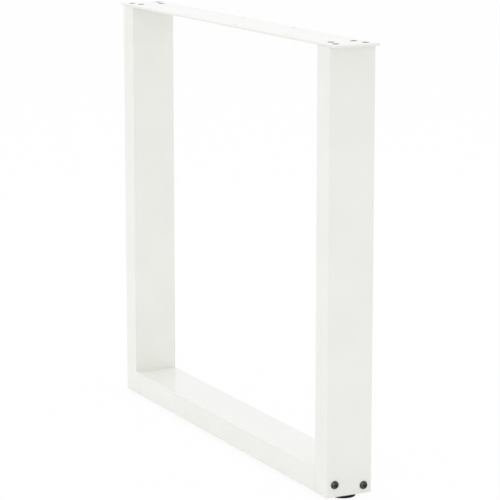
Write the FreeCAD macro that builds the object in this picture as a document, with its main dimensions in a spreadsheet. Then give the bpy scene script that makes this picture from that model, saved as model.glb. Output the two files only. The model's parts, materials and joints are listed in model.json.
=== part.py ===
import FreeCAD, Part
import math
import os

import Sketcher
from FreeCAD import Placement, Rotation, Vector

# A U shaped steel leg for one end of a table, in millimetres.
# +X runs along the frame, +Y across it, +Z up. The origin is on the floor, under the middle.
# Two upright tubes carry a flat top plate on countersunk screws, a cross tube is bolted between
# their lower ends, and each post stands on a levelling foot that screws into its bottom plate.

# Driving dimensions: alias, value and what it measures
SIZES = (
    ("plate_length", 800, "top plate, end to end"),
    ("plate_thickness", 4, "top plate"),
    ("plate_corner", 2, "radius of the top plate's corners"),
    ("plate_edge", 0.5, "bevel of the top plate's upper and lower rims"),
    ("end_overhang", 15, "top plate past the outer face of each post"),
    ("tube_wide", 80, "wide side of the tube, and width of the top plate"),
    ("tube_narrow", 40, "narrow side of the tube"),
    ("tube_wall", 1.5, "wall of the tube"),
    ("tube_corner", 0.8, "outer corner radius of the tube"),
    ("smallest_round", 0.2, "least inner corner radius of the tube"),
    ("post_height", 711, "length of an upright tube"),
    ("top_hole_diameter", 7, "clearance hole for a table top screw"),
    ("top_hole_step", 90, "from one table top hole to the next along the plate"),
    ("top_hole_inset", 10, "table top hole to the plate's long edge"),
    ("screw_diameter", 6, "plate screw, thread"),
    ("screw_head_diameter", 11.4, "plate screw, countersunk head"),
    ("screw_land", 0.2, "straight rim of the countersunk head"),
    ("screw_sink", 0.1, "head below the top of the plate"),
    ("screw_hole_clearance", 0.3, "plate hole round the screw, on the radius"),
    ("screw_seat_clearance", 0.05, "countersink round the head, on the radius"),
    ("screw_socket", 4, "plate screw, hexagon across flats"),
    ("screw_socket_depth", 1.8, "plate screw, hexagon depth"),
    ("screw_reach", 4, "screw end past its tapped plate"),
    ("screw_inset", 7, "plate screw to the wide face of the post"),
    ("screw_outer_inset", 14, "outer screw pair to the narrow face of the post"),
    ("screw_inner_inset", 20, "inner screw pair to the narrow face of the post"),
    ("head_plate_thickness", 6, "tapped plate in the top of a post"),
    ("bolt_diameter", 8, "corner bolt, thread"),
    ("bolt_head_diameter", 13.6, "corner bolt, button head"),
    ("bolt_head_height", 4.4, "corner bolt, button head"),
    ("bolt_rim", 0.4, "straight rim of the button head"),
    ("bolt_crown", 7.7, "flat top of the button head"),
    ("bolt_socket", 5, "corner bolt, hexagon across flats"),
    ("bolt_socket_depth", 2.6, "corner bolt, hexagon depth"),
    ("bolt_reach", 4, "bolt end past its tapped plate"),
    ("bolt_inset", 14, "corner bolt to the narrow face of the post"),
    ("bolt_high", 20, "upper corner bolt above the post's lower end"),
    ("bolt_low", 13, "lower corner bolt above the post's lower end"),
    ("bolt_hole_clearance", 0.4, "post hole round the bolt, on the radius"),
    ("beam_plate_thickness", 8, "tapped plate in an end of the beam"),
    ("foot_plate_thickness", 6, "tapped plate in the bottom of a post"),
    ("weld_gap", 0.1, "tapped plate to the inside of its tube"),
    ("thread_clearance", 0.1, "tapped hole round its thread, on the radius"),
    ("thread_lead", 1, "lead-in chamfer of a tapped hole and of a thread's end"),
    ("pad_diameter", 40, "foot pad"),
    ("pad_height", 4.7, "foot pad"),
    ("pad_lower_edge", 0.6, "chamfer of the pad's lower edge"),
    ("pad_upper_edge", 1.2, "chamfer of the pad's upper edge"),
    ("foot_gap", 0.3, "pad to the post's lower end when screwed right in"),
    ("stem_diameter", 8, "foot stem, thread"),
    ("stem_length", 30, "foot stem above its head"),
    ("stem_head", 13, "foot stem, hexagon head across flats"),
    ("stem_head_height", 3, "foot stem, hexagon head"),
    ("stem_head_clearance", 0.05, "pad's pocket round the hexagon head"),
)
TOP_HOLES = 6
HEXAGON_SIDES = 6
CORNER_RATIO = 1 / math.sqrt(3)
# A drill's point of 120 degrees, its depth to its radius
DRILL_RATIO = 1 / math.sqrt(3)
SHEET = "Sizes"
MATCH_RATIO = 1e-4
X_AXIS = Vector(1, 0, 0)
Y_AXIS = Vector(0, 1, 0)
Z_AXIS = Vector(0, 0, 1)
FULL_TURN = 360
HALF_TURN = 180
QUARTER_TURN = 90

# How a sketch numbers its origin, its axes and the points of a line or circle
ORIGIN_INDEX = -1
X_AXIS_INDEX = -1
Y_AXIS_INDEX = -2
START_INDEX = 1
END_INDEX = 2
CENTRE_INDEX = 3

# Derived sizes, as expressions on the sheet
STAND = "(Sizes.pad_height + Sizes.foot_gap)"
PLATE_LEVEL = f"({STAND} + Sizes.post_height)"
FRAME_SPAN = "(Sizes.plate_length - 2 * Sizes.end_overhang)"
POST_AXIS = f"({FRAME_SPAN} / 2 - Sizes.tube_narrow / 2)"
BEAM_LENGTH = f"({FRAME_SPAN} - 2 * Sizes.tube_narrow)"
INNER_CORNER = "max(Sizes.tube_corner - Sizes.tube_wall; Sizes.smallest_round)"
INNER_WIDE = "(Sizes.tube_wide - 2 * Sizes.tube_wall - 2 * Sizes.weld_gap)"
INNER_NARROW = "(Sizes.tube_narrow - 2 * Sizes.tube_wall - 2 * Sizes.weld_gap)"
SCREW_OFFSET = "(Sizes.tube_narrow / 2 - Sizes.screw_inset)"
SCREW_OUTER = "(Sizes.tube_wide / 2 - Sizes.screw_outer_inset)"
SCREW_INNER = "(Sizes.tube_wide / 2 - Sizes.screw_inner_inset)"
SCREW_LENGTH = ("(Sizes.plate_thickness - Sizes.screw_sink"
                " + Sizes.head_plate_thickness + Sizes.screw_reach)")
BOLT_OFFSET = "(Sizes.tube_wide / 2 - Sizes.bolt_inset)"
BOLT_LENGTH = "(Sizes.tube_narrow + Sizes.beam_plate_thickness + Sizes.bolt_reach)"
SCREW_PLACES = (
    (SCREW_OFFSET, SCREW_OUTER),
    (SCREW_OFFSET, f"-{SCREW_OUTER}"),
    (f"-{SCREW_OFFSET}", SCREW_INNER),
    (f"-{SCREW_OFFSET}", f"-{SCREW_INNER}"),
)
BOLT_PLACES = (
    (f"-{BOLT_OFFSET}", "Sizes.bolt_high"),
    (BOLT_OFFSET, "Sizes.bolt_low"),
)


def add_sizes(doc):
    """Writes the driving dimensions into the document's sheet."""
    sheet = doc.addObject("Spreadsheet::Sheet", SHEET)
    for row, (alias, value, meaning) in enumerate(SIZES, start=1):
        sheet.set(f"A{row}", meaning)
        sheet.set(f"B{row}", str(value))
        sheet.setAlias(f"B{row}", alias)
    doc.recompute()


def bind(item, **expressions):
    """Ties an object's properties to expressions on the sheet."""
    for name, expression in expressions.items():
        item.setExpression(name, expression)


def place(item, x="0", y="0", z="0", turn=Rotation()):
    """Gives an object its turn, and its place by expressions."""
    item.Placement = Placement(Vector(), turn)
    for axis, expression in zip("xyz", (x, y, z)):
        item.setExpression(f"Placement.Base.{axis}", expression)


def new_body(doc, label):
    """Starts a sub-part."""
    body = doc.addObject("PartDesign::Body", label)
    body.Label = label
    return body


def attach(item, body, role, height=None):
    """Sets a sketch or primitive on one of its body's own planes, or above it."""
    planes = {feature.Role: feature for feature in body.Origin.OriginFeatures}
    item.AttachmentSupport = [(planes[role], "")]
    item.MapMode = "FlatFace"
    if height:
        item.setExpression("AttachmentOffset.Base.z", height)


def new_sketch(body, name, role, height=None):
    """Starts a sketch on one of its body's own planes, or above it."""
    sketch = body.newObject("Sketcher::SketchObject", name)
    attach(sketch, body, role, height)
    return sketch


def point_at(sketch, x, y):
    """Works out the point that two expressions give."""
    return Vector(sketch.evalExpression(x), sketch.evalExpression(y), 0)


def pin(sketch, geometry, point, x, y):
    """Holds one point of a sketch at two expressions, measured from the origin."""
    for kind, expression, axis in (("DistanceX", x, Y_AXIS_INDEX), ("DistanceY", y, X_AXIS_INDEX)):
        if expression == "0":
            sketch.addConstraint(Sketcher.Constraint("PointOnObject", geometry, point, axis))
            continue
        number = sketch.addConstraint(Sketcher.Constraint(
            kind, ORIGIN_INDEX, START_INDEX, geometry, point, sketch.evalExpression(expression)))
        sketch.setExpression(f"Constraints[{number}]", expression)


def dome(start, end):
    """Draws an anticlockwise arc between two points, about a point on the vertical axis."""
    height = (end.x ** 2 + end.y ** 2 - start.x ** 2 - start.y ** 2) / (2 * (end.y - start.y))
    centre = Vector(0, height, 0)
    circle = Part.Circle(centre, Z_AXIS, (start - centre).Length)
    return Part.ArcOfCircle(circle, circle.parameter(start), circle.parameter(end))


def draw_outline(sketch, corners, domed_from=None):
    """Draws a closed outline whose corners are held at pairs of expressions.

    The side that starts at the corner domed_from is a dome, and such an outline runs anticlockwise.
    """
    count = len(corners)
    points = [point_at(sketch, x, y) for x, y in corners]
    first = sketch.GeometryCount
    for k, corner in enumerate(corners):
        ends = points[k], points[(k + 1) % count]
        if corner == domed_from:
            sketch.addGeometry(dome(*ends), False)
            sketch.addConstraint(
                Sketcher.Constraint("PointOnObject", first + k, CENTRE_INDEX, Y_AXIS_INDEX))
        else:
            sketch.addGeometry(Part.LineSegment(*ends), False)
    for k, (x, y) in enumerate(corners):
        joined = first + (k + 1) % count
        sketch.addConstraint(
            Sketcher.Constraint("Coincident", first + k, END_INDEX, joined, START_INDEX))
        pin(sketch, first + k, START_INDEX, x, y)


def draw_rectangle(sketch, wide, high):
    """Draws a rectangle about the origin."""
    right, left = f"({wide}) / 2", f"-({wide}) / 2"
    top, bottom = f"({high}) / 2", f"-({high}) / 2"
    draw_outline(sketch, ((left, bottom), (right, bottom), (right, top), (left, top)))


def draw_circles(sketch, diameter, centres):
    """Draws circles of one diameter, with their centres at pairs of expressions."""
    across = sketch.evalExpression(diameter)
    for x, y in centres:
        drawn = Part.Circle(point_at(sketch, x, y), Z_AXIS, across / 2)
        circle = sketch.addGeometry(drawn, False)
        number = sketch.addConstraint(Sketcher.Constraint("Diameter", circle, across))
        sketch.setExpression(f"Constraints[{number}]", diameter)
        pin(sketch, circle, CENTRE_INDEX, x, y)


def pad(body, sketch, name, length, both_ways=False):
    """Raises a sketch into a solid."""
    feature = body.newObject("PartDesign::Pad", name)
    feature.Profile = sketch
    feature.Midplane = both_ways
    bind(feature, Length=length)
    return feature


def cut_through(body, sketch, name):
    """Cuts a sketch right through the solid, both ways."""
    body.Document.recompute()
    before = body.Shape.Volume
    feature = body.newObject("PartDesign::Pocket", name)
    feature.Profile = sketch
    feature.Type = "ThroughAll"
    feature.Midplane = True
    body.Document.recompute()
    if not body.Shape.Volume < before:
        raise RuntimeError(f"{body.Label}: {name} cuts nothing")
    return feature


def revolve(body, sketch, name):
    """Turns a half profile, drawn right of the vertical axis, into a round solid."""
    feature = body.newObject("PartDesign::Revolution", name)
    feature.Profile = sketch
    feature.ReferenceAxis = (sketch, ["V_Axis"])
    feature.Angle = FULL_TURN
    return feature


def round_edges(body, base, name, edges, radius):
    """Rounds the named edges of a feature."""
    feature = body.newObject("PartDesign::Fillet", name)
    feature.Base = (base, edges)
    bind(feature, Radius=radius)
    return feature


def bevel_edges(body, base, name, edges, size):
    """Bevels the named edges of a feature at 45 degrees."""
    feature = body.newObject("PartDesign::Chamfer", name)
    feature.Base = (base, edges)
    bind(feature, Size=size)
    return feature


def edges_along(shape, axis):
    """Names the straight edges that run along an axis, with their distance from it."""
    found = []
    for number, edge in enumerate(shape.Edges, start=1):
        if edge.Curve.TypeId != "Part::GeomLine":
            continue
        if abs(edge.tangentAt(edge.FirstParameter).dot(axis)) < 1 - MATCH_RATIO:
            continue
        middle = edge.valueAt((edge.FirstParameter + edge.LastParameter) / 2)
        found.append((f"Edge{number}", (middle - axis * middle.dot(axis)).Length))
    return found


def edges_level(shape, height):
    """Names the edges that lie wholly at one height."""
    found = []
    for number, edge in enumerate(shape.Edges, start=1):
        box = edge.BoundBox
        if abs(box.ZMin - height) < MATCH_RATIO and abs(box.ZMax - height) < MATCH_RATIO:
            found.append(f"Edge{number}")
    return found


def hexagon(body, kind, name, across_flats, height, level):
    """Adds or takes away a hexagonal prism that stands on a level."""
    prism = body.newObject(kind, name)
    attach(prism, body, "XY_Plane", level)
    prism.Polygon = HEXAGON_SIDES
    bind(prism, Circumradius=f"({across_flats}) * {CORNER_RATIO}", Height=height)
    return prism


def sink_socket(body, name, across_flats, depth, top):
    """Sinks a hexagon socket from a level, with the cone that its drill left."""
    floor = f"{top} - {depth}"
    hexagon(body, "PartDesign::SubtractivePrism", name, across_flats, depth, floor)
    radius = f"{across_flats} / 2"
    point = f"{radius} * {DRILL_RATIO}"
    cone = body.newObject("PartDesign::SubtractiveCone", f"{name}_drilling")
    attach(cone, body, "XY_Plane", f"{floor} - {point}")
    cone.Radius1 = 0
    bind(cone, Radius2=radius, Height=point)


def tube(doc, label, role, axis, length, both_ways):
    """Makes a rectangular tube with rounded corners; its wide side lies along Y."""
    body = new_body(doc, label)
    section = new_sketch(body, f"{label}_section", role)
    sides = ("Sizes.tube_wide", "Sizes.tube_narrow")
    if role == "XY_Plane":
        sides = sides[::-1]
    draw_rectangle(section, *sides)
    draw_rectangle(section, *(f"{side} - 2 * Sizes.tube_wall" for side in sides))
    feature = pad(body, section, f"{label}_run", length, both_ways)
    for name, nearest, radius in (("inside", True, INNER_CORNER),
                                  ("outside", False, "Sizes.tube_corner")):
        doc.recompute()
        lines = edges_along(feature.Shape, axis)
        limit = (min if nearest else max)(distance for edge, distance in lines)
        edges = [edge for edge, distance in lines if abs(distance - limit) < MATCH_RATIO]
        feature = round_edges(body, feature, f"{label}_{name}", edges, radius)
    return body


def make_post(doc, label):
    """Makes an upright tube, with the bolt holes through both of its wide walls."""
    body = tube(doc, label, "XY_Plane", Z_AXIS, "Sizes.post_height", False)
    holes = new_sketch(body, f"{label}_bolt_holes", "YZ_Plane")
    draw_circles(holes, "Sizes.bolt_diameter + 2 * Sizes.bolt_hole_clearance", BOLT_PLACES)
    cut_through(body, holes, f"{label}_drilling")
    return body


def tapped_plate(doc, label, sides, thickness, diameter, centres, lead_above):
    """Makes a plate that fits a tube, with tapped holes that have a lead-in on one face."""
    body = new_body(doc, label)
    outline = new_sketch(body, f"{label}_outline", "XY_Plane")
    draw_rectangle(outline, *sides)
    blank = pad(body, outline, f"{label}_blank", thickness)
    doc.recompute()
    corners = [edge for edge, distance in edges_along(blank.Shape, Z_AXIS)]
    round_edges(body, blank, f"{label}_corners", corners, INNER_CORNER)
    holes = new_sketch(body, f"{label}_holes", "XY_Plane")
    draw_circles(holes, f"{diameter} + 2 * Sizes.thread_clearance", centres)
    drilled = cut_through(body, holes, f"{label}_drilling")
    shape = drilled.Shape
    level = shape.BoundBox.ZMax if lead_above else shape.BoundBox.ZMin
    round_holes = [f"Edge{number}" for number, edge in enumerate(shape.Edges, start=1)
                   if edge.isClosed() and edge.Curve.TypeId == "Part::GeomCircle"]
    mouths = [edge for edge in edges_level(shape, level) if edge in round_holes]
    bevel_edges(body, drilled, f"{label}_lead", mouths, "Sizes.thread_lead")
    return body


def make_top_plate(doc):
    """Makes the flat bar, with staggered table top holes and countersunk screw holes."""
    body = new_body(doc, "top_plate")
    outline = new_sketch(body, "plate_outline", "XY_Plane")
    draw_rectangle(outline, "Sizes.plate_length", "Sizes.tube_wide")
    bar = pad(body, outline, "bar", "Sizes.plate_thickness")
    doc.recompute()
    corners = [edge for edge, distance in edges_along(bar.Shape, Z_AXIS)]
    cornered = round_edges(body, bar, "bar_corners", corners, "Sizes.plate_corner")
    doc.recompute()
    box = cornered.Shape.BoundBox
    rims = edges_level(cornered.Shape, box.ZMin) + edges_level(cornered.Shape, box.ZMax)
    bevel_edges(body, cornered, "bar_edges", rims, "Sizes.plate_edge")

    row = "(Sizes.tube_wide / 2 - Sizes.top_hole_inset)"
    places = []
    for number in range(TOP_HOLES):
        steps = number - (TOP_HOLES - 1) / 2
        side = row if number % 2 == 0 else f"-{row}"
        places.append((f"{steps} * Sizes.top_hole_step", side))
    top_holes = new_sketch(body, "table_top_holes", "XY_Plane")
    draw_circles(top_holes, "Sizes.top_hole_diameter", places)
    cut_through(body, top_holes, "table_top_drilling")

    spots = []
    for x, y in SCREW_PLACES:
        spots.append((f"{POST_AXIS} + {x}", y))
        spots.append((f"-({POST_AXIS} + {x})", y))
    screw_holes = new_sketch(body, "screw_holes", "XY_Plane", "Sizes.plate_thickness")
    clear_hole = "Sizes.screw_diameter + 2 * Sizes.screw_hole_clearance"
    draw_circles(screw_holes, clear_hole, spots)
    doc.recompute()
    before = body.Shape.Volume
    sunk = body.newObject("PartDesign::Hole", "countersinking")
    sunk.Profile = screw_holes
    doc.recompute()
    sunk.ThreadType = "None"
    sunk.DepthType = "ThroughAll"
    sunk.HoleCutType = "Countersink"
    sunk.HoleCutCustomValues = True
    sunk.HoleCutCountersinkAngle = QUARTER_TURN
    bind(sunk, Diameter=clear_hole,
         HoleCutDiameter="Sizes.screw_head_diameter + 2 * Sizes.screw_seat_clearance"
                         " + 2 * (Sizes.screw_land + Sizes.screw_sink)")
    doc.recompute()
    if not body.Shape.Volume < before:
        raise RuntimeError("the countersunk holes cut nothing")
    place(body, z=PLATE_LEVEL)
    return body


def make_screw(doc):
    """Makes a countersunk socket screw: the top of its head is at its origin, its thread below."""
    body = new_body(doc, "plate_screw")
    half = new_sketch(body, "screw_profile", "XZ_Plane")
    head, thread = "Sizes.screw_head_diameter / 2", "Sizes.screw_diameter / 2"
    cone_end = f"-(Sizes.screw_land + {head} - {thread})"
    draw_outline(half, (
        ("0", f"-{SCREW_LENGTH}"),
        (f"{thread} - Sizes.thread_lead", f"-{SCREW_LENGTH}"),
        (thread, f"-{SCREW_LENGTH} + Sizes.thread_lead"),
        (thread, cone_end),
        (head, "-Sizes.screw_land"),
        (head, "0"),
        ("0", "0"),
    ))
    revolve(body, half, "screw_blank")
    sink_socket(body, "screw_socket", "Sizes.screw_socket", "Sizes.screw_socket_depth", "0")
    return body


def make_bolt(doc):
    """Makes a button head socket bolt: its head stands above its origin, its thread below."""
    body = new_body(doc, "corner_bolt")
    half = new_sketch(body, "bolt_profile", "XZ_Plane")
    head, thread = "Sizes.bolt_head_diameter / 2", "Sizes.bolt_diameter / 2"
    rim, top = (head, "Sizes.bolt_rim"), "Sizes.bolt_head_height"
    draw_outline(half, (
        ("0", f"-{BOLT_LENGTH}"),
        (f"{thread} - Sizes.thread_lead", f"-{BOLT_LENGTH}"),
        (thread, f"-{BOLT_LENGTH} + Sizes.thread_lead"),
        (thread, "0"),
        (head, "0"),
        rim,
        ("Sizes.bolt_crown / 2", top),
        ("0", top),
    ), domed_from=rim)
    revolve(body, half, "bolt_blank")
    sink_socket(body, "bolt_socket", "Sizes.bolt_socket", "Sizes.bolt_socket_depth", top)
    return body


def make_foot_pad(doc, label):
    """Makes a round foot pad, with a hexagonal pocket for the stem's head."""
    body = new_body(doc, label)
    half = new_sketch(body, f"{label}_profile", "XZ_Plane")
    radius, high = "Sizes.pad_diameter / 2", "Sizes.pad_height"
    draw_outline(half, (
        ("0", "0"),
        (f"{radius} - Sizes.pad_lower_edge", "0"),
        (radius, "Sizes.pad_lower_edge"),
        (radius, f"{high} - Sizes.pad_upper_edge"),
        (f"{radius} - Sizes.pad_upper_edge", high),
        ("0", high),
    ))
    revolve(body, half, f"{label}_disc")
    hexagon(body, "PartDesign::SubtractivePrism", f"{label}_pocket",
            "Sizes.stem_head + 2 * Sizes.stem_head_clearance", "Sizes.stem_head_height",
            f"{high} - Sizes.stem_head_height")
    return body


def make_foot_stem(doc, label):
    """Makes a threaded foot stem, standing on its hexagon head."""
    body = new_body(doc, label)
    hexagon(body, "PartDesign::AdditivePrism", f"{label}_head", "Sizes.stem_head",
            "Sizes.stem_head_height", None)
    half = new_sketch(body, f"{label}_profile", "XZ_Plane")
    thread = "Sizes.stem_diameter / 2"
    end = "(Sizes.stem_head_height + Sizes.stem_length)"
    draw_outline(half, (
        ("0", "0"),
        (thread, "0"),
        (thread, f"{end} - Sizes.thread_lead"),
        (f"{thread} - Sizes.thread_lead", end),
        ("0", end),
    ))
    revolve(body, half, f"{label}_thread")
    return body


def copies(doc, label, source, places):
    """Groups copies of one fastener, each at its own place and turn."""
    links = []
    for number, (x, y, z, turn) in enumerate(places, start=1):
        link = doc.addObject("App::Link", f"{label}_{number}")
        link.LinkedObject = source
        place(link, x, y, z, turn)
        links.append(link)
    group = doc.addObject("Part::Compound", label)
    group.Label = label
    group.Links = links
    return group


def make_side(doc, side, sign, turn):
    """Makes one post with its inner plates and its foot; the two sides are half a turn apart."""
    axis = f"{sign} * {POST_AXIS}"
    post = make_post(doc, f"{side}_post")
    place(post, x=axis, z=STAND, turn=turn)

    across = (INNER_NARROW, INNER_WIDE)
    head_plate = tapped_plate(doc, f"{side}_head_plate", across, "Sizes.head_plate_thickness",
                              "Sizes.screw_diameter", SCREW_PLACES, True)
    place(head_plate, x=axis, z=f"{PLATE_LEVEL} - Sizes.head_plate_thickness", turn=turn)

    foot_plate = tapped_plate(doc, f"{side}_foot_plate", across, "Sizes.foot_plate_thickness",
                              "Sizes.stem_diameter", (("0", "0"),), False)
    place(foot_plate, x=axis, z=STAND, turn=turn)

    # The beam plate is drawn flat: its own X is the height and its own Z points at the post
    heights = tuple((f"Sizes.tube_narrow / 2 - {height}", y) for y, height in BOLT_PLACES)
    beam_plate = tapped_plate(doc, f"{side}_beam_plate", across, "Sizes.beam_plate_thickness",
                              "Sizes.bolt_diameter", heights, True)
    upright = turn.multiply(Rotation(Y_AXIS, QUARTER_TURN))
    place(beam_plate, x=f"{sign} * ({BEAM_LENGTH} / 2 - Sizes.beam_plate_thickness)",
          z=f"{STAND} + Sizes.tube_narrow / 2", turn=upright)

    foot_pad = make_foot_pad(doc, f"{side}_foot_pad")
    place(foot_pad, x=axis)
    stem = make_foot_stem(doc, f"{side}_foot_stem")
    place(stem, x=axis, z="Sizes.pad_height - Sizes.stem_head_height")
    return [post, head_plate, foot_plate, beam_plate, foot_pad, stem]


def make_leg(doc):
    """Makes every sub-part and returns them."""
    parts = [make_top_plate(doc)]
    beam = tube(doc, "bottom_beam", "YZ_Plane", X_AXIS, BEAM_LENGTH, True)
    place(beam, z=f"{STAND} + Sizes.tube_narrow / 2")
    parts.append(beam)

    screw_places = []
    bolt_places = []
    for side, sign, angle in (("right", 1, 0), ("left", -1, HALF_TURN)):
        turn = Rotation(Z_AXIS, angle)
        parts.extend(make_side(doc, side, sign, turn))
        head_level = f"{PLATE_LEVEL} + Sizes.plate_thickness - Sizes.screw_sink"
        for x, y in SCREW_PLACES:
            screw_places.append((f"{sign} * ({POST_AXIS} + {x})", f"{sign} * ({y})",
                                 head_level, turn))
        sideways = turn.multiply(Rotation(Y_AXIS, QUARTER_TURN))
        for y, height in BOLT_PLACES:
            bolt_places.append((f"{sign} * {FRAME_SPAN} / 2", f"{sign} * ({y})",
                                f"{STAND} + {height}", sideways))
    parts.append(copies(doc, "plate_screws", make_screw(doc), screw_places))
    parts.append(copies(doc, "corner_bolts", make_bolt(doc), bolt_places))
    return parts


def write_parts(doc, parts):
    """Checks every object and shape, then writes each sub-part to its own file."""
    doc.recompute()
    failed = [item.Label for item in doc.Objects
              if "Invalid" in item.State or "Error" in item.State]
    failed += [part.Label for part in parts
               if part.Shape.isNull() or not part.Shape.isValid() or not part.Shape.Solids]
    if failed:
        raise RuntimeError(f"these did not build: {', '.join(failed)}")
    os.makedirs("parts", exist_ok=True)
    for part in parts:
        part.Shape.exportStep(f"parts/{part.Label}.step")
        print(f"{part.Label}: {len(part.Shape.Solids)} solids, {part.Shape.Volume:.0f} mm3")


document = FreeCAD.newDocument("table_leg")
add_sizes(document)
write_parts(document, make_leg(document))
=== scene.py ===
"""Looks of a U shaped steel table leg.

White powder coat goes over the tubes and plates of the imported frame. The black corner bolts, the
countersunk plate screws and the levelling feet are modelled here with their threads, and stand
for the plain solids of the frame. Lengths are metres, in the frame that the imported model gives.
"""

import json
import logging
import math
from collections.abc import Callable, Mapping, Sequence
from dataclasses import dataclass
from enum import Enum
from functools import cached_property
from itertools import pairwise

import bmesh
import bpy
from mathutils import Matrix, Vector

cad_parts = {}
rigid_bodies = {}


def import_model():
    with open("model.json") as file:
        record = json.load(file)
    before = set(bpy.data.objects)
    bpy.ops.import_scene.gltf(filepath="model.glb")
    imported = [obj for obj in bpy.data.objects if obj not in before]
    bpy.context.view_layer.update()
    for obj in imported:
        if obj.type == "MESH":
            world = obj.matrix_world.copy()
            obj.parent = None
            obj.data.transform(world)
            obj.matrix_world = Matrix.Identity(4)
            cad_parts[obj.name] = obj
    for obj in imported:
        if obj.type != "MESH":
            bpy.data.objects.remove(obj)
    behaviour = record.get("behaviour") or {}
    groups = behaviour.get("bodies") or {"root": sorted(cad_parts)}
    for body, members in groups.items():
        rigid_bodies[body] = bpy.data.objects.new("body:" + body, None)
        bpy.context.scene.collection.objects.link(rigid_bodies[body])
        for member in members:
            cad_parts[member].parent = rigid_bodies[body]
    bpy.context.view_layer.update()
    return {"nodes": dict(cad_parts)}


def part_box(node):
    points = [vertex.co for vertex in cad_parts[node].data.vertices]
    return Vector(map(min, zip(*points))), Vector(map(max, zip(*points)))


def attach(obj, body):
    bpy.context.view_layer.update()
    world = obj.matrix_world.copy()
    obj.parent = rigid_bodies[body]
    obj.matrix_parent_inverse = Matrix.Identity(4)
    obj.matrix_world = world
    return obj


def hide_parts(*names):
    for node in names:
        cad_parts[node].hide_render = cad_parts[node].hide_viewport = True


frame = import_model()

LOG = logging.getLogger("table_leg")

# Radius and height of one corner of a turned outline
Corner = tuple[float, float]
Colour = tuple[float, float, float, float]

ROUND_STEPS = 48
ARC_STEPS = 8
HEXAGON_SIDES = 6
# A hexagon's size across its flats to the radius of its corners
FLATS_RATIO = math.sqrt(3)
# A drill's point of 120 degrees, its depth to its radius
DRILL_RATIO = 1 / math.sqrt(3)
# Size of the plane that is merged to the first point of a line
SPECK = 1e-5
# Points closer than this lie on each other
NEAR = 1e-6
SMOOTH_ANGLE = math.radians(32)
QUARTER_TURN = math.pi / 2
MATRIX_SIZE = 4
WHITE: Colour = (1.0, 1.0, 1.0, 1.0)
FULL = 1.0
NOISE_MIDDLE = 0.5
# How much of the white surround shows in a gloss, the rest being its plain light
GLOSS_SHARE = 0.75

# How a colour Mix node numbers its sockets
MIX_SHARE = 0
MIX_FIRST = 6
MIX_SECOND = 7
MIX_RESULT = 2


class Slot(Enum):
    """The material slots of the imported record."""

    WHITE_POWDER_COAT = "white_powder_coat"
    BLACK_STEEL = "black_steel"
    BLACK_PLASTIC = "black_plastic"
    ZINC_STEEL = "zinc_steel"


class Side(Enum):
    """The two ends of the leg, which are the same but for half a turn."""

    RIGHT = 0.0
    LEFT = math.pi

    @property
    def label(self) -> str:
        """The side's name as the frame writes it."""
        return self.name.lower()

    @property
    def turn(self) -> Matrix:
        """Takes a place on the right end to the same place on this end."""
        return Matrix.Rotation(self.value, MATRIX_SIZE, "Z")


class Field:
    """A shader value that Python's own operators join to others."""

    def __init__(self, board: "Board", socket: bpy.types.NodeSocket) -> None:
        """Keeps a socket and the board that it is on."""
        self.board = board
        self.socket = socket

    def _join(self, operation: str, first: "Field | float", second: "Field | float") -> "Field":
        """Adds one Math node.

        Args:
            operation: what Blender calls the sum.
            first: its left side.
            second: its right side.

        Returns:
            The node's value.
        """
        return self.board.add("ShaderNodeMath", {"operation": operation}, {0: first, 1: second})

    def __add__(self, other: "Field | float") -> "Field":
        """This value plus another."""
        return self._join("ADD", self, other)

    def __radd__(self, other: float) -> "Field":
        """A number plus this value."""
        return self._join("ADD", other, self)

    def __sub__(self, other: "Field | float") -> "Field":
        """This value less another."""
        return self._join("SUBTRACT", self, other)

    def __rsub__(self, other: float) -> "Field":
        """A number less this value."""
        return self._join("SUBTRACT", other, self)

    def __mul__(self, other: "Field | float") -> "Field":
        """This value times another."""
        return self._join("MULTIPLY", self, other)

    def __rmul__(self, other: float) -> "Field":
        """A number times this value."""
        return self._join("MULTIPLY", other, self)

    def __or__(self, other: "Field") -> "Field":
        """The greater of two values, so that masks join."""
        return self._join("MAXIMUM", self, other)


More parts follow.
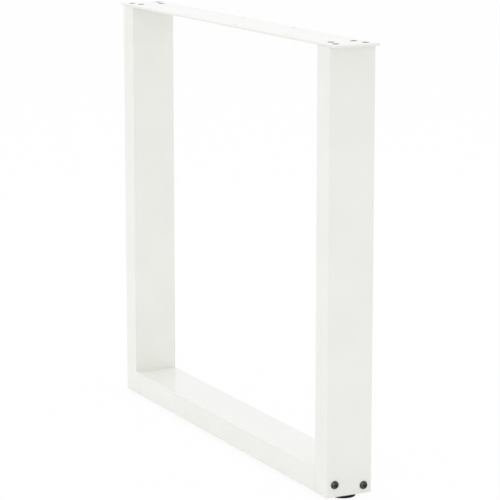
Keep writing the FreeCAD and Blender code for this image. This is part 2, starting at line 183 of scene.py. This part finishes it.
class Board:
    """A node tree that is filled one node at a time."""

    def __init__(self, tree: bpy.types.NodeTree) -> None:
        """Clears a tree to work on."""
        tree.nodes.clear()
        self.tree = tree

    def add(
        self,
        kind: str,
        settings: Mapping[str, object] | None = None,
        inputs: Mapping[str | int, object] | None = None,
        output: str | int = 0,
    ) -> Field | None:
        """Adds a node.

        Args:
            kind: the node's type.
            settings: its own properties, which are set first.
            inputs: a value or a Field for each socket, by name or number.
            output: the socket that the result is read from.

        Returns:
            The chosen output, or nothing from a node that only takes.
        """
        node = self.tree.nodes.new(kind)
        for name, value in (settings or {}).items():
            setattr(node, name, value)
        for key, value in (inputs or {}).items():
            if isinstance(value, Field):
                self.tree.links.new(value.socket, node.inputs[key])
            else:
                node.inputs[key].default_value = value
        return Field(self, node.outputs[output]) if node.outputs else None

    @cached_property
    def place(self) -> Field:
        """Where a point lies on the leg, in metres."""
        return self.add("ShaderNodeTexCoord", output="Object")

    def noise(self, size: float, detail: float = 2.0, stretch: Vector | None = None) -> Field:
        """Adds a soft irregular pattern.

        Args:
            size: breadth of one blotch, in metres.
            detail: how many finer layers it has.
            stretch: how much longer a blotch is along each axis, where it isn't round.

        Returns:
            A value about one half, from 0 to 1.
        """
        place = self.place
        if stretch is not None:
            shrink = Vector(1 / part for part in stretch)
            place = self.add("ShaderNodeMapping", None, {"Vector": place, "Scale": shrink})
        return self.add(
            "ShaderNodeTexNoise",
            None,
            {"Vector": place, "Scale": 1 / size, "Detail": detail},
            "Fac",
        )

    def mask(self, value: Field, low: float, high: float) -> Field:
        """Turns a value into a soft mask.

        Args:
            value: what is judged.
            low: where the mask is still 0.
            high: where it has reached 1.

        Returns:
            A value from 0 to 1.
        """
        return self.add(
            "ShaderNodeMapRange",
            {"interpolation_type": "SMOOTHSTEP"},
            {"Value": value, "From Min": low, "From Max": high},
        )

    def blend(self, share: Field, first: Colour | Field, second: Colour | Field) -> Field:
        """Mixes two colours.

        Args:
            share: how much of the second shows.
            first: colour where share is 0.
            second: colour where share is 1.

        Returns:
            The mixed colour.
        """
        return self.add(
            "ShaderNodeMix",
            {"data_type": "RGBA"},
            {MIX_SHARE: share, MIX_FIRST: first, MIX_SECOND: second},
            MIX_RESULT,
        )

    def layer(self, share: Field, first: Field, second: Field) -> Field:
        """Mixes two shaders.

        Args:
            share: how much of the second shows.
            first: shader where share is 0.
            second: shader where share is 1.

        Returns:
            The mixed shader.
        """
        return self.add("ShaderNodeMixShader", None, {0: share, 1: first, 2: second})

    def relief(self, height: Field, depth: float) -> Field:
        """Roughens a surface.

        Args:
            height: pattern from 0, low, to 1, high.
            depth: how high 1 stands, in metres.

        Returns:
            A normal for a shader.
        """
        return self.add("ShaderNodeBump", None, {"Height": height, "Distance": depth}, "Normal")

    @property
    def seen(self) -> Field:
        """Tells what is looked at from what only lights the leg.

        Returns:
            1 for a straight look or one through glass, less in a gloss, and 0 for light.
        """
        rays = ("Is Camera Ray", "Is Glossy Ray", "Is Transmission Ray")
        camera, glossy, through = (self.add("ShaderNodeLightPath", output=ray) for ray in rays)
        return camera | glossy * GLOSS_SHARE | through


@dataclass(frozen=True)
class Finish:
    """What every finish on the leg has in common."""

    slot: Slot

    @cached_property
    def material(self) -> bpy.types.Material:
        """Makes the finish as a material, once.

        Returns:
            The material.
        """
        made = bpy.data.materials.new(f"{self.slot.value}_finish")
        made.use_nodes = True
        board = Board(made.node_tree)
        board.add("ShaderNodeOutputMaterial", None, {"Surface": self.shade(board)})
        return made

    def shade(self, board: Board) -> Field:
        """Builds the shader of the finish on a board."""
        raise NotImplementedError

    def put_on(self, piece: bpy.types.Object) -> None:
        """Gives a piece this finish alone.

        Args:
            piece: a CAD node or a new piece.
        """
        piece.data.materials.clear()
        piece.data.materials.append(self.material)


@dataclass(frozen=True)
class PowderCoat(Finish):
    """White powder, baked on steel: a fine orange peel under the smooth skin of its resin."""

    slot: Slot = Slot.WHITE_POWDER_COAT
    full: Colour = (0.905, 0.912, 0.848, 1.0)
    thin: Colour = (0.888, 0.895, 0.832, 1.0)
    cloud_size: float = 0.09
    cloud_detail: float = 3.0
    cover_range: tuple[float, float] = (0.35, 0.65)
    grain_size: float = 0.0011
    swell_size: float = 0.0042
    swell_share: float = 0.6
    peel_depth: float = 0.000015
    satin: float = 0.25
    satin_swing: float = 0.06
    skin: float = 1.0
    skin_roughness: float = 0.08

    def shade(self, board: Board) -> Field:
        """Builds the coat: cloudy cover, uneven satin, a peel of two sizes and the skin.

        Args:
            board: the material's board.

        Returns:
            The shader.
        """
        grain = board.noise(self.grain_size)
        swell = board.noise(self.swell_size)
        peel = swell * self.swell_share + grain * (1 - self.swell_share)
        cover = board.mask(board.noise(self.cloud_size, self.cloud_detail), *self.cover_range)
        return board.add(
            "ShaderNodeBsdfPrincipled",
            None,
            {
                "Base Color": board.blend(cover, self.thin, self.full),
                "Roughness": self.satin + (grain - NOISE_MIDDLE) * self.satin_swing,
                "Normal": board.relief(peel, self.peel_depth),
                "Coat Weight": self.skin,
                "Coat Roughness": self.skin_roughness,
            },
        )


@dataclass(frozen=True)
class BlackOxide(Finish):
    """Black steel, a little lighter where it has been handled."""

    slot: Slot = Slot.BLACK_STEEL
    dark: Colour = (0.026, 0.026, 0.024, 1.0)
    rubbed: Colour = (0.057, 0.057, 0.053, 1.0)
    rub_size: float = 0.0022
    rub_detail: float = 4.0
    rub_range: tuple[float, float] = (0.50, 0.72)
    grain_size: float = 0.00035
    grain_depth: float = 0.000006
    gloss: float = 0.27
    gloss_swing: float = 0.12
    shine: float = 0.5

    def shade(self, board: Board) -> Field:
        """Builds the oxide: dark grain with rubbed patches.

        Args:
            board: the material's board.

        Returns:
            The shader.
        """
        grain = board.noise(self.grain_size)
        rub = board.mask(board.noise(self.rub_size, self.rub_detail), *self.rub_range)
        return board.add(
            "ShaderNodeBsdfPrincipled",
            None,
            {
                "Base Color": board.blend(rub, self.dark, self.rubbed),
                "Specular IOR Level": self.shine,
                "Roughness": self.gloss + (1 - rub) * self.gloss_swing,
                "Normal": board.relief(grain, self.grain_depth),
            },
        )


@dataclass(frozen=True)
class MouldedPlastic(Finish):
    """Black plastic with the fine grain of its mould."""

    slot: Slot = Slot.BLACK_PLASTIC
    deep: Colour = (0.003, 0.003, 0.003, 1.0)
    bloom: Colour = (0.008, 0.008, 0.008, 1.0)
    bloom_size: float = 0.012
    grain_size: float = 0.0005
    grain_detail: float = 3.0
    grain_depth: float = 0.00002
    matt: float = 0.60
    matt_swing: float = 0.12
    shine: float = 0.15

    def shade(self, board: Board) -> Field:
        """Builds the plastic: grained, with a faint bloom.

        Args:
            board: the material's board.

        Returns:
            The shader.
        """
        grain = board.noise(self.grain_size, self.grain_detail)
        bloom = board.noise(self.bloom_size)
        return board.add(
            "ShaderNodeBsdfPrincipled",
            None,
            {
                "Base Color": board.blend(bloom, self.deep, self.bloom),
                "Specular IOR Level": self.shine,
                "Roughness": self.matt + (grain - NOISE_MIDDLE) * self.matt_swing,
                "Normal": board.relief(grain, self.grain_depth),
            },
        )


@dataclass(frozen=True)
class BrightZinc(Finish):
    """Zinc plate over a drawn steel stem."""

    slot: Slot = Slot.ZINC_STEEL
    bright: Colour = (0.66, 0.67, 0.69, 1.0)
    dull: Colour = (0.50, 0.51, 0.52, 1.0)
    spangle_size: float = 0.0016
    spangle_detail: float = 3.0
    dull_range: tuple[float, float] = (0.40, 0.62)
    drawn: tuple[float, float, float] = (1.0, 1.0, 9.0)
    line_size: float = 0.0004
    line_depth: float = 0.000005
    gloss: float = 0.26
    gloss_swing: float = 0.18

    def shade(self, board: Board) -> Field:
        """Builds the plate: mottled zinc over lines along the stem.

        Args:
            board: the material's board.

        Returns:
            The shader.
        """
        lines = board.noise(self.line_size, stretch=Vector(self.drawn))
        dull = board.mask(board.noise(self.spangle_size, self.spangle_detail), *self.dull_range)
        return board.add(
            "ShaderNodeBsdfPrincipled",
            None,
            {
                "Base Color": board.blend(dull, self.bright, self.dull),
                "Metallic": FULL,
                "Roughness": self.gloss + dull * self.gloss_swing,
                "Normal": board.relief(lines, self.line_depth),
            },
        )


class Workpiece:
    """One mesh on the bench, shaped in edit mode about the upright axis."""

    def __init__(self, name: str) -> None:
        """Opens an empty mesh.

        Args:
            name: what it is called while it is shaped.
        """
        bpy.ops.object.select_all(action="DESELECT")
        bpy.ops.mesh.primitive_plane_add(size=SPECK, enter_editmode=True)
        bpy.ops.mesh.delete(type="VERT")
        self.piece = bpy.context.active_object
        self.piece.name = name

    def trace(self, outline: Sequence[Corner]) -> None:
        """Draws a line in the upright plane, a point extruded from corner to corner.

        Args:
            outline: radius and height of each corner.
        """
        corners = [Vector((radius, 0, height)) for radius, height in outline]
        bpy.ops.mesh.select_mode(type="VERT")
        bpy.ops.mesh.primitive_plane_add(size=SPECK, location=corners[0])
        bpy.ops.mesh.merge(type="CENTER")
        for here, there in pairwise(corners):
            bpy.ops.mesh.extrude_region_move(TRANSFORM_OT_translate={"value": there - here})
        bpy.ops.mesh.select_linked()

    def turn(self, outline: Sequence[Corner]) -> None:
        """Spins a traced line into a round shell, open where the line ends off the axis.

        Args:
            outline: radius and height of each corner.
        """
        self.trace(outline)
        bpy.ops.mesh.spin(
            steps=ROUND_STEPS, angle=math.tau, center=(0, 0, 0), axis=(0, 0, 1), use_auto_merge=True
        )
        self.merge_seams()

    def wind(self, outline: Sequence[Corner], pitch: float, turns: int) -> None:
        """Winds a traced line up the axis into an open thread.

        Args:
            outline: one turn of the thread, from root to root.
            pitch: rise of a turn.
            turns: how many there are.
        """
        self.trace(outline)
        bpy.ops.object.mode_set(mode="OBJECT")
        winding = self.piece.modifiers.new("winding", "SCREW")
        winding.screw_offset = pitch
        winding.iterations = turns
        winding.steps = winding.render_steps = ROUND_STEPS
        bpy.ops.object.modifier_apply(modifier=winding.name)
        bpy.ops.object.mode_set(mode="EDIT")
        self.merge_seams()

    def merge_seams(self) -> None:
        """Joins the points that lie on each other."""
        bpy.ops.mesh.select_all(action="SELECT")
        bpy.ops.mesh.remove_doubles(threshold=NEAR)

    def saw(self, height: float, drop_upper: bool) -> None:
        """Cuts the whole mesh level and drops one side.

        Args:
            height: where the cut runs.
            drop_upper: drops what is above it, or else what is below.
        """
        bpy.ops.mesh.select_all(action="SELECT")
        bpy.ops.mesh.bisect(
            plane_co=(0, 0, height),
            plane_no=(0, 0, 1),
            clear_outer=drop_upper,
            clear_inner=not drop_upper,
            threshold=NEAR,
        )

    def hexagon(self, across_flats: float, height: float) -> None:
        """Adds a level hexagon, its sides divided to match a round.

        Args:
            across_flats: size of the hexagon.
            height: where it lies.
        """
        bpy.ops.mesh.primitive_circle_add(
            vertices=HEXAGON_SIDES, radius=across_flats / FLATS_RATIO, location=(0, 0, height)
        )
        bpy.ops.mesh.subdivide(number_cuts=ROUND_STEPS // HEXAGON_SIDES - 1)

    def pick(self, test: Callable[[Vector], bool]) -> None:
        """Selects the edges whose two ends pass a test, and nothing else.

        Args:
            test: says whether a point counts.
        """
        bpy.ops.mesh.select_mode(type="EDGE")
        bpy.ops.mesh.select_all(action="DESELECT")
        mesh = bmesh.from_edit_mesh(self.piece.data)
        for edge in mesh.edges:
            if all(test(corner.co) for corner in edge.verts):
                edge.select_set(True)
        bmesh.update_edit_mesh(self.piece.data)

    def pick_ring(self, height: float, radius: float = math.inf) -> None:
        """Selects the level edges at a height, out to a radius."""
        self.pick(lambda at: abs(at.z - height) < NEAR and at.xy.length < radius + NEAR)

    def bridge(self, height: float, other: float, radius: float = math.inf) -> None:
        """Joins two open rings with faces.

        Args:
            height: level of one ring.
            other: level of the other.
            radius: how far out the rings reach, where others lie round them.
        """
        self.pick(
            lambda at: min(abs(at.z - height), abs(at.z - other)) < NEAR
            and at.xy.length < radius + NEAR
        )
        bpy.ops.mesh.bridge_edge_loops()

    def draw_out(self, rise: float, scale: float = 1.0) -> None:
        """Extrudes the picked edges along the axis and tapers them.

        Args:
            rise: how far, down where it is negative.
            scale: width of the new end against the old.
        """
        bpy.ops.mesh.extrude_region_move(TRANSFORM_OT_translate={"value": (0, 0, rise)})
        bpy.ops.transform.resize(value=(scale, scale, 1), center_override=(0, 0, 0))

    def cap(self) -> None:
        """Closes the picked ring with one face."""
        bpy.ops.mesh.edge_face_add()

    def point(self, rise: float) -> None:
        """Closes the picked ring with a point on the axis, down where rise is negative."""
        self.draw_out(rise)
        bpy.ops.mesh.merge(type="CENTER")

    def finish(self) -> None:
        """Closes the seams, turns the faces outwards, shades by angle and leaves edit mode."""
        self.merge_seams()
        bpy.ops.mesh.normals_make_consistent(inside=False)
        bpy.ops.object.mode_set(mode="OBJECT")
        bpy.ops.object.shade_smooth_by_angle(angle=SMOOTH_ANGLE)

    def copy_to(self, name: str, place: Matrix) -> bpy.types.Object:
        """Copies the finished piece, with a mesh of its own.

        Args:
            name: the copy's name.
            place: takes the bench's axis to the copy's place on the leg.

        Returns:
            The copy, with its place in its mesh.
        """
        twin = self.piece.copy()
        twin.data = self.piece.data.copy()
        twin.name = twin.data.name = name
        twin.data.transform(place)
        bpy.context.collection.objects.link(twin)
        return twin

    def clear_away(self) -> None:
        """Takes the pattern piece off the bench."""
        bpy.data.meshes.remove(self.piece.data)


def rounding(radius: float, height: float, size: float, start: float, end: float) -> list[Corner]:
    """Rounds a corner of an outline.

    Args:
        radius: middle of the arc, off the axis.
        height: middle of the arc, up the axis.
        size: the arc's own radius.
        start: angle above level where it begins.
        end: angle where it ends.

    Returns:
        Corners along the arc.
    """
    angles = [start + (end - start) * step / ARC_STEPS for step in range(ARC_STEPS + 1)]
    return [(radius + size * math.cos(a), height + size * math.sin(a)) for a in angles]


@dataclass(frozen=True)
class Thread:
    """A metric screw thread."""

    diameter: float
    pitch: float
    depth_share: float = 0.6134
    root_share: float = 1 / 4
    crest_share: float = 1 / 8

    @property
    def crest(self) -> float:
        """Radius of the crests."""
        return self.diameter / 2

    @property
    def depth(self) -> float:
        """Crest to root."""
        return self.depth_share * self.pitch

    def outline(self, bottom: float) -> list[Corner]:
        """Draws one turn.

        Args:
            bottom: where it starts.

        Returns:
            Its corners, from root to root.
        """
        flank = (1 - self.root_share - self.crest_share) / 2
        root = self.crest - self.depth
        rises = (0.0, self.root_share, self.root_share + flank, 1 - flank, 1.0)
        radii = (root, root, self.crest, self.crest, root)
        return [(radius, bottom + rise * self.pitch) for radius, rise in zip(radii, rises)]

    def cut(self, work: Workpiece, base: float, tip: float) -> None:
        """Makes a threaded end, open at its base and chamfered at its tip.

        Args:
            work: the empty piece that it goes on.
            base: height where the thread meets the rest.
            tip: height of the free end.
        """
        low = min(base, tip) - self.pitch
        high = max(base, tip) + self.pitch
        work.wind(self.outline(low), self.pitch, math.ceil((high - low) / self.pitch))
        towards_tip = math.copysign(1, tip - base)
        shoulder = tip - towards_tip * self.depth
        work.saw(base, drop_upper=towards_tip < 0)
        work.saw(shoulder, drop_upper=towards_tip > 0)
        work.pick_ring(shoulder)
        work.draw_out(tip - shoulder, 1 - self.depth / self.crest)
        work.cap()


@dataclass(frozen=True)
class Socket:
    """A hexagon hole with a round, chamfered mouth."""

    across_flats: float
    depth: float
    edge: float

    @property
    def corner(self) -> float:
        """Radius of the hexagon's corners."""
        return self.across_flats / FLATS_RATIO

    @property
    def mouth(self) -> float:
        """Radius of the mouth, just clear of the corners."""
        return self.corner + self.edge

    @property
    def drill_point(self) -> float:
        """Depth of the cone that the drill leaves under the walls."""
        return self.across_flats / 2 * DRILL_RATIO

    def sink(self, work: Workpiece, top: float) -> None:
        """Sinks the walls into an open mouth, and leaves their lower ring picked.

        Args:
            work: the piece, turned as far as the mouth.
            top: height of the mouth.
        """
        lip = top - self.edge
        work.hexagon(self.across_flats, lip)
        work.bridge(top, lip, self.mouth)
        work.pick_ring(lip, self.corner)
        work.draw_out(self.edge - self.depth)


@dataclass(frozen=True)
class SteelFrame:
    """The welded and coated steel: top plate, posts, cross tube and their tapped plates."""

    coat: Finish
    shared: tuple[str, ...] = ("top_plate", "bottom_beam")
    sided: tuple[str, ...] = ("post", "head_plate", "beam_plate", "foot_plate")

    def dress(self) -> None:
        """Coats every node of the frame."""
        sided = [f"{side.label}_{name}" for side in Side for name in self.sided]
        for name in (*self.shared, *sided):
            self.coat.put_on(frame["nodes"][name])
            LOG.info("%s coated", name)


@dataclass(frozen=True)
class CornerBolts:
    """Button-head bolts, two low on the outer face of each post, that hold the cross tube."""

    finish: Finish
    thread: Thread = Thread(diameter=0.008, pitch=0.00125)
    head_diameter: float = 0.0136
    head_height: float = 0.0044
    rim: float = 0.0004
    crown: float = 0.0077
    socket: Socket = Socket(across_flats=0.005, depth=0.0026, edge=0.00018)
    length: float = 0.052
    plain: float = 0.030
    runout: float = 0.0006
    inset: float = 0.014
    heights: tuple[float, float] = (0.020, 0.013)
    roll_step: float = math.radians(37)

    def dome(self) -> list[Corner]:
        """Draws the round of the head, about a point on its axis.

        Returns:
            Its corners, from the rim up to the flat crown.
        """
        rim = Vector((self.head_diameter / 2, self.rim))
        crown = Vector((self.crown / 2, self.head_height))
        middle = (crown.length_squared - rim.length_squared) / (2 * (crown.y - rim.y))
        start = math.atan2(rim.y - middle, rim.x)
        end = math.atan2(crown.y - middle, crown.x)
        return rounding(0.0, middle, math.hypot(rim.x, rim.y - middle), start, end)

    def model(self) -> Workpiece:
        """Models one bolt, its head above the level where it meets the post.

        Returns:
            The finished bolt.
        """
        bolt = Workpiece("corner_bolt")
        self.thread.cut(bolt, -self.plain, -self.length)
        neck = -self.plain + self.runout
        bolt.turn([
            (self.thread.crest, neck),
            (self.thread.crest, 0.0),
            (self.head_diameter / 2, 0.0),
            *self.dome(),
            (self.socket.mouth, self.head_height),
        ])
        bolt.bridge(-self.plain, neck)
        self.socket.sink(bolt, self.head_height)
        bolt.point(-self.socket.drill_point)
        bolt.finish()
        return bolt

    def build(self) -> None:
        """Puts two bolts in each post, the front one of the right post higher."""
        bolt = self.model()
        low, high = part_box("right_post")
        across = (high.y - low.y) / 2 - self.inset
        outwards = Matrix.Rotation(QUARTER_TURN, MATRIX_SIZE, "Y")
        for side in Side:
            for number, (y, rise) in enumerate(zip((-across, across), self.heights), start=1):
                at = Matrix.Translation((high.x, y, low.z + rise))
                roll = Matrix.Rotation(self.roll_step * number, MATRIX_SIZE, "Z")
                place = side.turn @ at @ outwards @ roll
                piece = bolt.copy_to(f"{side.label}_corner_bolt_{number}", place)
                self.finish.put_on(piece)
                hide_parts("corner_bolts")
                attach(piece, "frame")
                LOG.info("%s in place", piece.name)
        bolt.clear_away()


@dataclass(frozen=True)
class PlateScrews:
    """Countersunk screws, four at each end of the top plate, that hold it to the posts."""

    finish: Finish
    thread: Thread = Thread(diameter=0.006, pitch=0.001)
    head_diameter: float = 0.0114
    land: float = 0.0002
    sink: float = 0.0001
    rim: float = 0.00012
    socket: Socket = Socket(across_flats=0.004, depth=0.0018, edge=0.00015)
    length: float = 0.0139
    runout: float = 0.0005
    face_inset: float = 0.007
    outer_inset: float = 0.014
    inner_inset: float = 0.020
    roll_step: float = math.radians(23)

    def model(self) -> Workpiece:
        """Models one screw, hanging from the level top of its head.

        Returns:
            The finished screw.
        """
        screw = Workpiece("plate_screw")
        head = self.head_diameter / 2
        neck = -self.land - (head - self.thread.crest)
        base = neck - self.runout
        self.thread.cut(screw, base, -self.length)
        screw.turn([
            (self.thread.crest, neck),
            (head, -self.land),
            *rounding(head - self.rim, -self.rim, self.rim, 0.0, QUARTER_TURN),
            (self.socket.mouth, 0.0),
        ])
        screw.bridge(base, neck)
        self.socket.sink(screw, 0.0)
        screw.point(-self.socket.drill_point)
        screw.finish()
        return screw

    def build(self) -> None:
        """Puts four screws over each post, the outer two further apart."""
        screw = self.model()
        low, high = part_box("right_post")
        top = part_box("top_plate")[1].z - self.sink
        outer = (high.y - low.y) / 2 - self.outer_inset
        inner = (high.y - low.y) / 2 - self.inner_inset
        right, left = high.x - self.face_inset, low.x + self.face_inset
        spots = ((right, outer), (right, -outer), (left, inner), (left, -inner))
        for side in Side:
            for number, (x, y) in enumerate(spots, start=1):
                roll = Matrix.Rotation(self.roll_step * number, MATRIX_SIZE, "Z")
                place = side.turn @ Matrix.Translation((x, y, top)) @ roll
                piece = screw.copy_to(f"{side.label}_plate_screw_{number}", place)
                self.finish.put_on(piece)
                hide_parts("plate_screws")
                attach(piece, "frame")
                LOG.info("%s in place", piece.name)
        screw.clear_away()


@dataclass(frozen=True)
class LevellingFeet:
    """A round plastic pad on a threaded stem, under each post."""

    pad_finish: Finish
    stem_finish: Finish
    thread: Thread = Thread(diameter=0.008, pitch=0.00125)
    pad_diameter: float = 0.040
    pad_height: float = 0.0047
    lower_edge: float = 0.0006
    upper_edge: float = 0.0012
    tread_width: float = 0.006
    groove_width: float = 0.0012
    groove_slope: float = 0.0003
    groove_depth: float = 0.0005
    groove_count: int = 2
    pocket_edge: float = 0.0003
    stem_length: float = 0.030
    stem_head: float = 0.013
    stem_head_height: float = 0.003
    stem_head_edge: float = 0.0004
    head_clearance: float = 0.00005
    runout: float = 0.0006

    @property
    def pocket(self) -> Socket:
        """The hole in the pad that takes the stem's head."""
        across_flats = self.stem_head + 2 * self.head_clearance
        return Socket(across_flats, self.stem_head_height, self.pocket_edge)

    @property
    def pocket_floor(self) -> float:
        """Height of the pocket's floor, where the stem's head sits."""
        return self.pad_height - self.stem_head_height

    def tread(self) -> list[Corner]:
        """Draws the underside, from the axis out to the lower edge.

        Returns:
            Its corners: a raised middle, then a flat ring with grooves.
        """
        outer = self.pad_diameter / 2 - self.lower_edge
        inner = outer - self.tread_width
        step = self.tread_width / (self.groove_count + 1)
        corners = [
            (0.0, self.groove_depth),
            (inner - self.groove_depth, self.groove_depth),
            (inner, 0.0),
        ]
        for number in range(1, self.groove_count + 1):
            middle = inner + step * number
            near, far = middle - self.groove_width / 2, middle + self.groove_width / 2
            corners += [
                (near, 0.0),
                (near + self.groove_slope, self.groove_depth),
                (far - self.groove_slope, self.groove_depth),
                (far, 0.0),
            ]
        return corners

    def model_pad(self) -> Workpiece:
        """Models the pad on the floor, with a hexagon pocket in its top.

        Returns:
            The finished pad.
        """
        pad = Workpiece("pad")
        rim = self.pad_diameter / 2
        pad.turn([
            *self.tread(),
            *rounding(rim - self.lower_edge, self.lower_edge, self.lower_edge, -QUARTER_TURN, 0.0),
            *rounding(
                rim - self.upper_edge,
                self.pad_height - self.upper_edge,
                self.upper_edge,
                0.0,
                QUARTER_TURN,
            ),
            (self.pocket.mouth, self.pad_height),
        ])
        self.pocket.sink(pad, self.pad_height)
        pad.cap()
        pad.finish()
        return pad

    def model_stem(self) -> Workpiece:
        """Models the stem at its height above the floor, its hexagon head in the pocket.

        Returns:
            The finished stem.
        """
        stem = Workpiece("stem")
        base = self.pad_height + self.runout
        self.thread.cut(stem, base, self.pad_height + self.stem_length)
        stem.hexagon(self.stem_head, self.pocket_floor)
        stem.pick_ring(self.pocket_floor)
        stem.cap()
        stem.pick_ring(self.pocket_floor)
        stem.draw_out(self.stem_head_height - self.stem_head_edge)
        stem.draw_out(self.stem_head_edge, 1 - 2 * self.stem_head_edge / self.stem_head)
        stem.bridge(self.pad_height, base)
        stem.finish()
        return stem

    def build(self) -> None:
        """Puts a foot under each post, on the body that the foot's slide moves."""
        pad, stem = self.model_pad(), self.model_stem()
        low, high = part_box("right_foot_pad")
        under = Matrix.Translation(((low.x + high.x) / 2, (low.y + high.y) / 2, low.z))
        for side in Side:
            for work, name, finish in (
                (pad, "pad", self.pad_finish),
                (stem, "stem", self.stem_finish),
            ):
                piece = work.copy_to(f"{side.label}_levelling_{name}", side.turn @ under)
                finish.put_on(piece)
                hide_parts(f"{side.label}_foot_{name}")
                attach(piece, f"{side.label}_foot")
                LOG.info("%s in place", piece.name)
        pad.clear_away()
        stem.clear_away()


@dataclass(frozen=True)
class Softbox:
    """A square lamp that faces a point on the leg."""

    name: str
    place: tuple[float, float, float]
    size: float
    power: float
    colour: tuple[float, float, float] = (1.0, 1.0, 1.0)
    gloss_only: bool = False

    def hang(self, aim: Vector) -> None:
        """Hangs the lamp.

        Args:
            aim: the point that it faces.
        """
        bpy.ops.object.light_add(type="AREA", location=self.place)
        lamp = bpy.context.active_object
        lamp.name = self.name
        lamp.rotation_euler = (aim - lamp.location).to_track_quat("-Z", "Y").to_euler()
        lamp.data.size = self.size
        lamp.data.energy = self.power
        lamp.data.color = self.colour
        lamp.visible_diffuse = not self.gloss_only


@dataclass(frozen=True)
class Studio:
    """White floor and surround, soft lamps, and the photograph's viewpoint."""

    aim: tuple[float, float, float] = (0.0, 0.0201, 0.3297)
    azimuth: float = math.radians(63.07)
    elevation: float = math.radians(11.26)
    distance: float = 3.967
    lens: float = 167.9
    floor_reach: float = 40.0
    floor_colour: Colour = (0.96, 0.96, 0.96, 1.0)
    floor_matt: float = 0.9
    floor_glow: float = 0.93
    dome: Colour = (0.855, 0.855, 0.855, 1.0)
    lamps: tuple[Softbox, ...] = (
        Softbox(
            "overhead_softbox",
            place=(0.0, 0.0, 8.0),
            size=6.0,
            power=131.0,
            colour=(0.79, 0.76, 1.0),
        ),
        Softbox("front_softbox", place=(0.6, -6.0, 0.8), size=4.0, power=19.0),
        Softbox("glint", place=(2.6, -3.3, 3.1), size=0.55, power=130.0, gloss_only=True),
    )

    def lay_floor(self) -> None:
        """Lays a half of the floor under each foot, where it stays as the foot is screwed out."""
        made = bpy.data.materials.new("pale_floor")
        made.use_nodes = True
        board = Board(made.node_tree)
        matt = board.add(
            "ShaderNodeBsdfPrincipled",
            None,
            {"Base Color": self.floor_colour, "Roughness": self.floor_matt},
        )
        glow = board.add("ShaderNodeEmission", None, {"Color": WHITE, "Strength": FULL})
        lit = board.layer(board.seen * self.floor_glow, matt, glow)
        board.add("ShaderNodeOutputMaterial", None, {"Surface": lit})
        for side in Side:
            middle = side.turn @ Vector((self.floor_reach / 2, 0, 0))
            bpy.ops.mesh.primitive_plane_add(size=self.floor_reach, location=middle)
            bpy.ops.object.transform_apply(location=True)
            half = bpy.context.active_object
            half.name = f"{side.label}_floor"
            half.data.materials.append(made)
            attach(half, f"{side.label}_foot")

    def light(self) -> None:
        """Sets the white surround and the lamps."""
        world = bpy.data.worlds.new("white_surround")
        world.use_nodes = True
        board = Board(world.node_tree)
        dome = board.add("ShaderNodeBackground", None, {"Color": self.dome, "Strength": FULL})
        white = board.add("ShaderNodeBackground", None, {"Color": WHITE, "Strength": FULL})
        mixed = board.layer(board.seen, dome, white)
        board.add("ShaderNodeOutputWorld", None, {"Surface": mixed})
        bpy.context.scene.world = world
        for lamp in self.lamps:
            lamp.hang(Vector(self.aim))

    def set_camera(self) -> None:
        """Puts the camera where the photograph was seen from."""
        level = math.cos(self.elevation)
        back = Vector((
            math.sin(self.azimuth) * level,
            -math.cos(self.azimuth) * level,
            math.sin(self.elevation),
        ))
        bpy.ops.object.camera_add(location=Vector(self.aim) + back * self.distance)
        camera = bpy.context.active_object
        camera.rotation_euler = back.to_track_quat("Z", "Y").to_euler()
        camera.data.lens = self.lens
        bpy.context.scene.camera = camera

    def build(self) -> None:
        """Sets the whole studio."""
        self.lay_floor()
        self.light()
        self.set_camera()
        bpy.context.scene.view_settings.view_transform = "Standard"


def main() -> None:
    """Dresses the frame, builds the fasteners and feet, and sets the studio."""
    logging.basicConfig(level=logging.INFO, format="%(name)s: %(message)s")
    SteelFrame(PowderCoat()).dress()
    CornerBolts(BlackOxide()).build()
    PlateScrews(BlackOxide(shine=0.05, gloss=0.65)).build()
    LevellingFeet(MouldedPlastic(), BrightZinc()).build()
    Studio().build()


if __name__ == "__main__":
    main()
